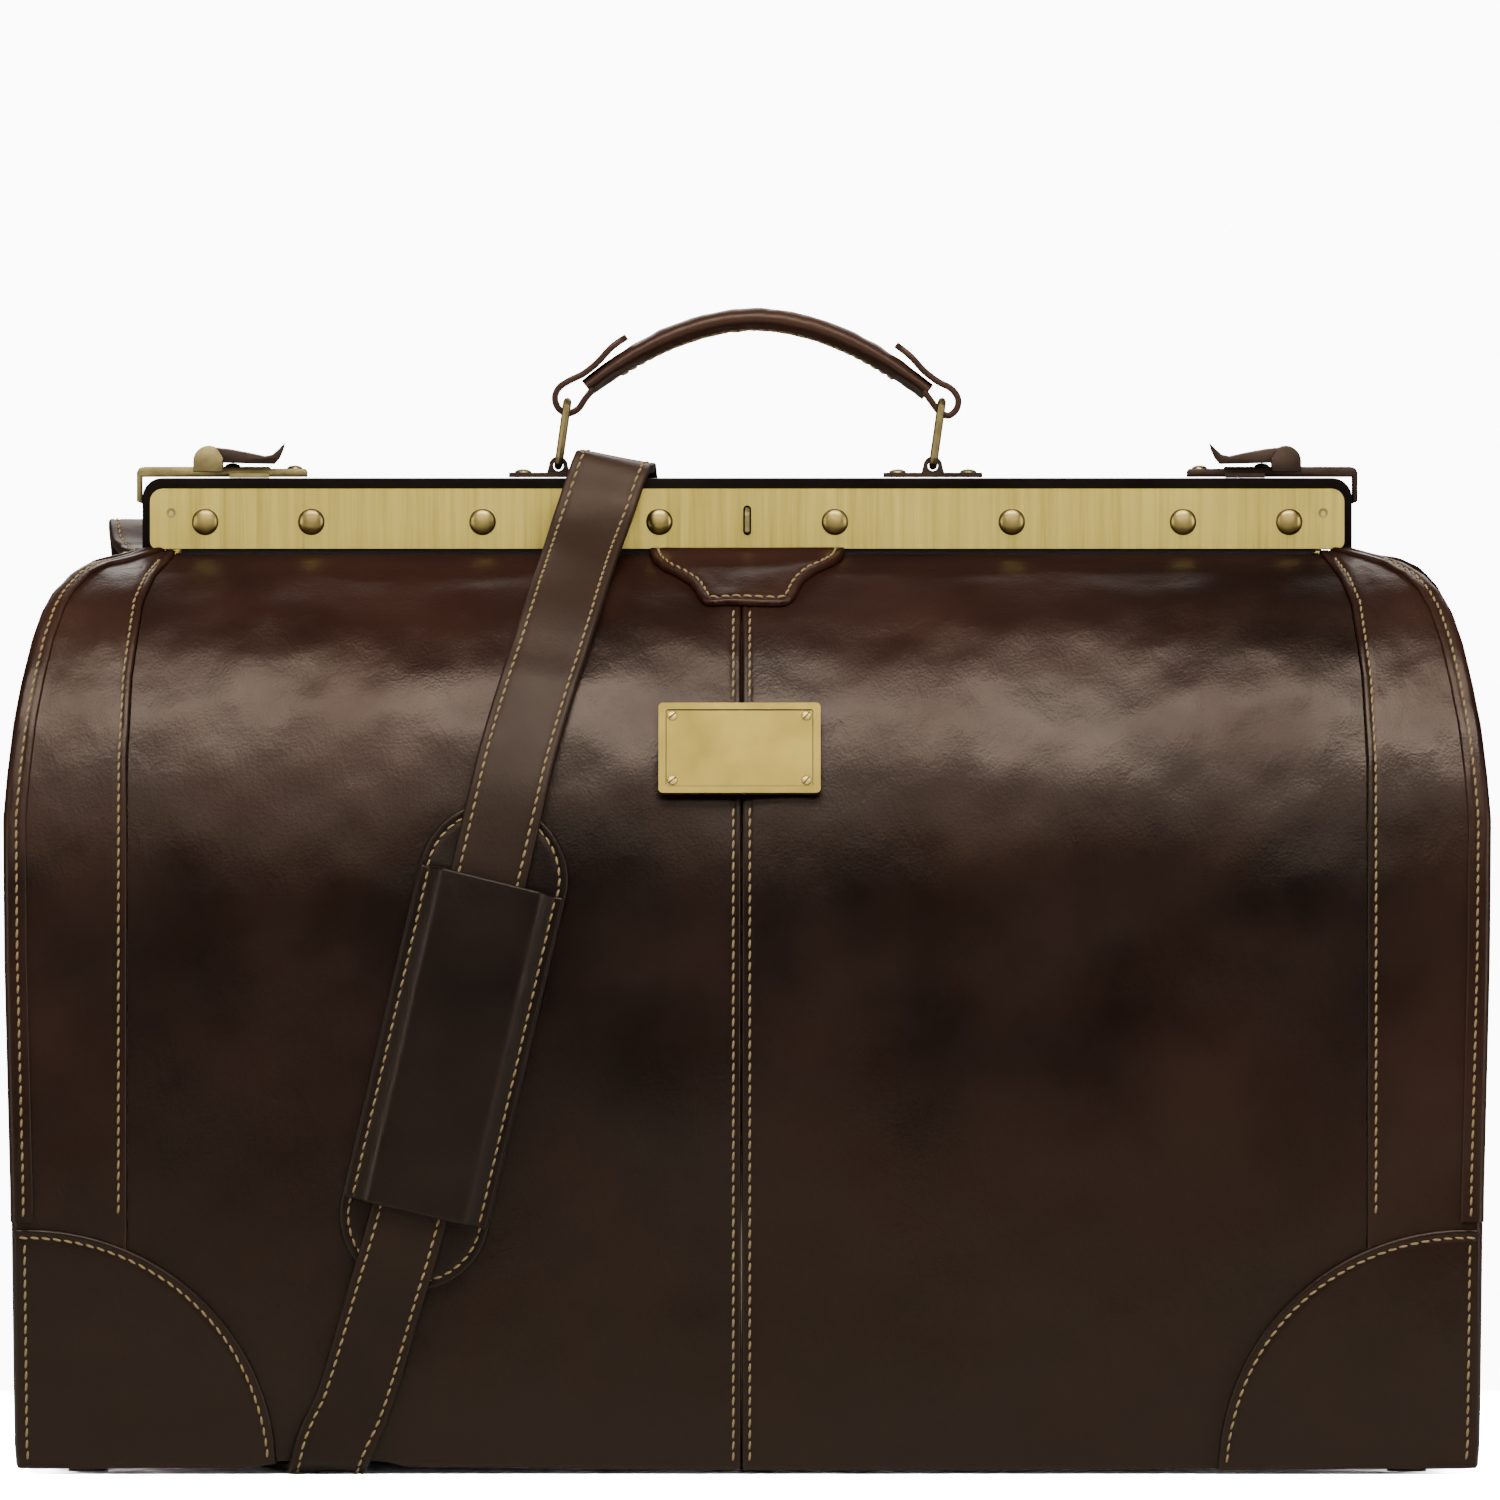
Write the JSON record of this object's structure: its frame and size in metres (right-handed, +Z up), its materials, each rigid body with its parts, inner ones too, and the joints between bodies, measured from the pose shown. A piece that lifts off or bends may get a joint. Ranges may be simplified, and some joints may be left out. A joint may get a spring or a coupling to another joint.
{
  "type": "doctor bag",
  "caption": "Leather gladstone travel bag: a two-jaw hinged frame with flip latches, a ring-hung carrying handle and a draped shoulder strap with a pad.",
  "frame": {"origin": "middle of the bag's length and depth, on the floor under its feet", "axes": "+X to the right along the frame, -Y out of the front with the name plate, +Z up"},
  "size_m": [0.5218, 0.2839, 0.4094],
  "materials": {
    "brown_leather": "glossy waxed cowhide, dark brown",
    "strap_leather": "semi-gloss bridle leather, brown",
    "fibre_board": "plain fibre board",
    "lining_cloth": "woven cotton, tan",
    "satin_brass": "brushed satin",
    "aged_brass": "antiqued",
    "covered_frame": "black leather over the steel bar",
    "dark_steel": "dark oxide"
  },
  "bodies": {
    "bag_body": {"base_panel": "brown_leather", "base_board": "fibre_board", "foot_front_left": "aged_brass", "foot_front_right": "aged_brass", "foot_rear_left": "aged_brass", "foot_rear_right": "aged_brass", "front_panel_left": "brown_leather", "front_panel_right": "brown_leather", "back_panel": "brown_leather", "gusset_left": "brown_leather", "gusset_right": "brown_leather", "side_band_front_left": "brown_leather", "side_band_front_right": "brown_leather", "side_band_rear_left": "brown_leather", "side_band_rear_right": "brown_leather", "corner_patch_front_left": "brown_leather", "corner_patch_front_right": "brown_leather", "corner_patch_rear_left": "brown_leather", "corner_patch_rear_right": "brown_leather", "front_board": "fibre_board", "back_board": "fibre_board", "end_board_left": "fibre_board", "end_board_right": "fibre_board", "lining": "lining_cloth", "name_plate": "satin_brass", "hinge_pin_left": "dark_steel", "hinge_pin_right": "dark_steel", "shoulder_strap": "strap_leather", "shoulder_pad_backing": "brown_leather", "shoulder_pad_sleeve": "brown_leather", "strap_buckle": "aged_brass"},
    "front_jaw": {"front_jaw_bar": "covered_frame", "front_arm_left": "dark_steel", "front_arm_right": "dark_steel", "front_facing": "satin_brass", "front_tab": "brown_leather", "lock_staple": "aged_brass", "latch_keeper_left": "aged_brass", "latch_keeper_right": "aged_brass"},
    "rear_jaw": {"rear_jaw_bar": "covered_frame", "rear_arm_left": "dark_steel", "rear_arm_right": "dark_steel", "rear_facing": "satin_brass", "handle_base_left": "aged_brass", "handle_base_right": "aged_brass", "latch_base_left": "aged_brass", "latch_base_right": "aged_brass", "d_ring_chape_left": "aged_brass", "d_ring_chape_right": "aged_brass"},
    "latch_lever_left": {"latch_lever_left": "aged_brass"},
    "latch_lever_right": {"latch_lever_right": "aged_brass"},
    "handle_ring_left": {"handle_ring_left": "aged_brass"},
    "handle_ring_right": {"handle_ring_right": "aged_brass"},
    "handle_grip": {"handle_grip": "strap_leather"},
    "d_ring_left": {"d_ring_left": "aged_brass"},
    "d_ring_right": {"d_ring_right": "aged_brass"},
    "snap_hook_left": {"snap_hook_left": "satin_brass"},
    "snap_hook_right": {"snap_hook_right": "satin_brass"},
    "hook_gate_left": {"hook_gate_left": "aged_brass"},
    "hook_gate_right": {"hook_gate_right": "aged_brass"}
  },
  "joints": [
    {"name": "front_jaw_hinge", "type": "hinge", "parent": "bag_body", "child": "front_jaw", "pos_m": [0, 0, 0.245], "axis": [1, 0, 0], "range_deg": [0, 55], "deforming": ["front_panel_left", "front_panel_right", "side_band_front_left", "side_band_front_right", "gusset_left", "gusset_right", "lining", "shoulder_strap"]},
    {"name": "rear_jaw_hinge", "type": "hinge", "parent": "bag_body", "child": "rear_jaw", "pos_m": [0, 0, 0.245], "axis": [-1, 0, 0], "range_deg": [0, 55], "deforming": ["back_panel", "side_band_rear_left", "side_band_rear_right", "gusset_left", "gusset_right", "lining", "shoulder_strap"]},
    {"name": "latch_left_flip", "type": "hinge", "parent": "rear_jaw", "child": "latch_lever_left", "pos_m": [-0.191, 0.0085, 0.355], "axis": [0, -1, 0], "range_deg": [0, 100]},
    {"name": "latch_right_flip", "type": "hinge", "parent": "rear_jaw", "child": "latch_lever_right", "pos_m": [0.191, 0.0085, 0.355], "axis": [0, 1, 0], "range_deg": [0, 100]},
    {"name": "handle_ring_left_lean", "type": "hinge", "parent": "rear_jaw", "child": "handle_ring_left", "pos_m": [-0.0668, 0.0085, 0.353], "axis": [0, 1, 0], "range_deg": [-60, 40]},
    {"name": "handle_ring_right_lean", "type": "hinge", "parent": "rear_jaw", "child": "handle_ring_right", "pos_m": [0.0657, 0.0085, 0.353], "axis": [0, 1, 0], "range_deg": [-60, 40]},
    {"name": "grip_pivot", "type": "hinge", "parent": "handle_ring_left", "child": "handle_grip", "pos_m": [-0.0636, 0.0085, 0.3757], "axis": [0, 1, 0], "range_deg": [-40, 60]},
    {"name": "d_ring_left_swing", "type": "hinge", "parent": "rear_jaw", "child": "d_ring_left", "pos_m": [-0.1995, 0.0222, 0.3275], "axis": [1, 0, 0], "range_deg": [0, 60]},
    {"name": "snap_hook_left_swing", "type": "hinge", "parent": "d_ring_left", "child": "snap_hook_left", "pos_m": [-0.1995, 0.04212, 0.32616], "axis": [1, 0, 0], "range_deg": [0, 40]},
    {"name": "hook_gate_left_open", "type": "hinge", "parent": "snap_hook_left", "child": "hook_gate_left", "pos_m": [-0.20425, 0.05765, 0.32647], "axis": [0.9563, 0.2924, 0], "range_deg": [0, 22], "stiffness_Nm_per_rad": 0.02, "springref_deg": -5.73},
    {"name": "d_ring_right_swing", "type": "hinge", "parent": "rear_jaw", "child": "d_ring_right", "pos_m": [0.1995, 0.0222, 0.3275], "axis": [1, 0, 0], "range_deg": [0, 60]},
    {"name": "snap_hook_right_swing", "type": "hinge", "parent": "d_ring_right", "child": "snap_hook_right", "pos_m": [0.1995, 0.04212, 0.32616], "axis": [1, 0, 0], "range_deg": [0, 40]},
    {"name": "hook_gate_right_open", "type": "hinge", "parent": "snap_hook_right", "child": "hook_gate_right", "pos_m": [0.19475, 0.05765, 0.32647], "axis": [0.9563, 0.2924, 0], "range_deg": [0, 22], "stiffness_Nm_per_rad": 0.02, "springref_deg": -5.73}
  ],
  "couplings": [
    {"joint": "grip_pivot", "follows": "handle_ring_left_lean", "ratio": -1},
    {"joint": "handle_ring_right_lean", "follows": "handle_ring_left_lean", "ratio": 1}
  ]
}
